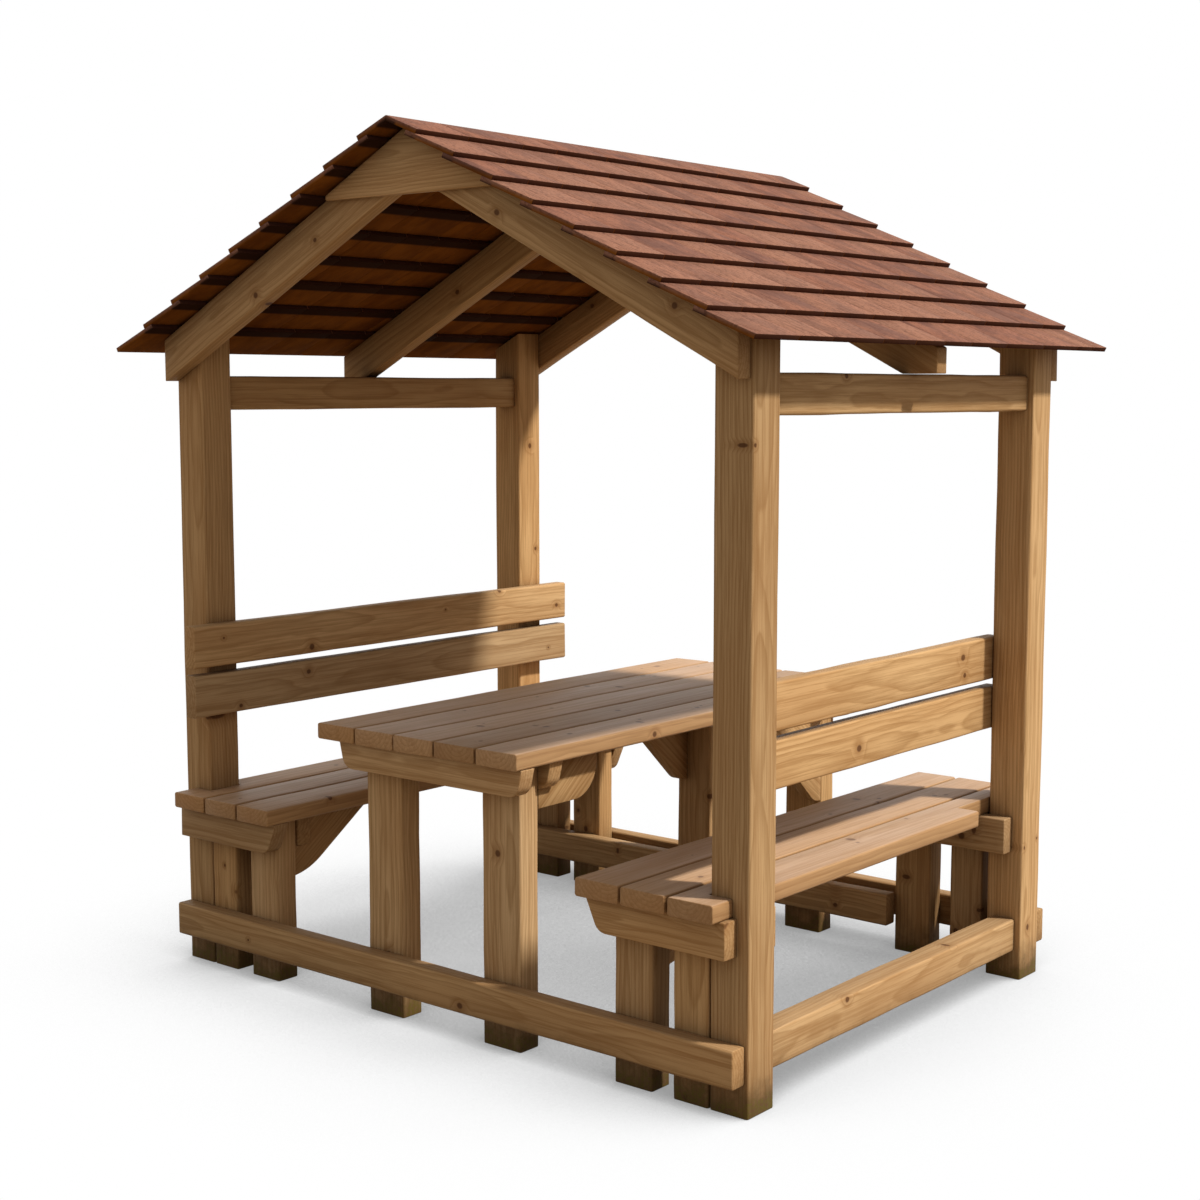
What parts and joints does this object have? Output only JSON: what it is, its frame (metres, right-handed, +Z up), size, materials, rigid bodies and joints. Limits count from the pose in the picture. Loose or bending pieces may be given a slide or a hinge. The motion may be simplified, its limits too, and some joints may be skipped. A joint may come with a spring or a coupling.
{
  "type": "garden gazebo with picnic table",
  "caption": "Open timber garden gazebo: corner posts carry a gable roof of lapped boards over a built-in picnic table and benches with backrests.",
  "frame": {"origin": "on the ground in the middle of the frame, under the ridge", "axes": "+Z up, +Y back along the ridge, +X to the right across the gable front"},
  "size_m": [2.0304, 1.59, 2.1536],
  "materials": {
    "frame_timber": "oiled, knotty, eased edges",
    "pale_timber": "oiled, sawn",
    "worn_planks": "oiled, weathered top",
    "stained_boards": "reddish brown stain, dark sawn butts"
  },
  "bodies": {
    "root": {"backrest_left": "frame_timber", "backrest_right": "frame_timber", "bench_bearers_left": "frame_timber", "bench_bearers_right": "frame_timber", "bench_knee_left": "frame_timber", "bench_knee_right": "frame_timber", "bench_legs_left": "frame_timber", "bench_legs_right": "frame_timber", "foot_rail_back": "frame_timber", "foot_rail_back_inner": "frame_timber", "foot_rail_front": "frame_timber", "foot_rail_side": "frame_timber", "gusset_back": "pale_timber", "gusset_front": "pale_timber", "post_back_left": "frame_timber", "post_back_right": "frame_timber", "post_front_left": "frame_timber", "post_front_right": "frame_timber", "rafter_back_left": "pale_timber", "rafter_back_right": "pale_timber", "rafter_front_left": "pale_timber", "rafter_front_right": "pale_timber", "rafter_middle_left": "pale_timber", "rafter_middle_right": "pale_timber", "roof_course_2": "stained_boards", "roof_course_3": "stained_boards", "roof_course_4": "stained_boards", "roof_course_5": "stained_boards", "roof_course_6": "stained_boards", "roof_course_7": "stained_boards", "roof_course_8": "stained_boards", "roof_course_9": "stained_boards", "roof_ridge_course_left": "stained_boards", "roof_ridge_course_right": "stained_boards", "seat_left": "worn_planks", "seat_right": "worn_planks", "table_corbels": "frame_timber", "table_inner_bearers": "frame_timber", "table_knees": "frame_timber", "table_legs": "frame_timber", "table_outer_bearers": "frame_timber", "table_top": "worn_planks", "top_rail_left": "frame_timber", "top_rail_right": "frame_timber"}
  },
  "joints": []
}
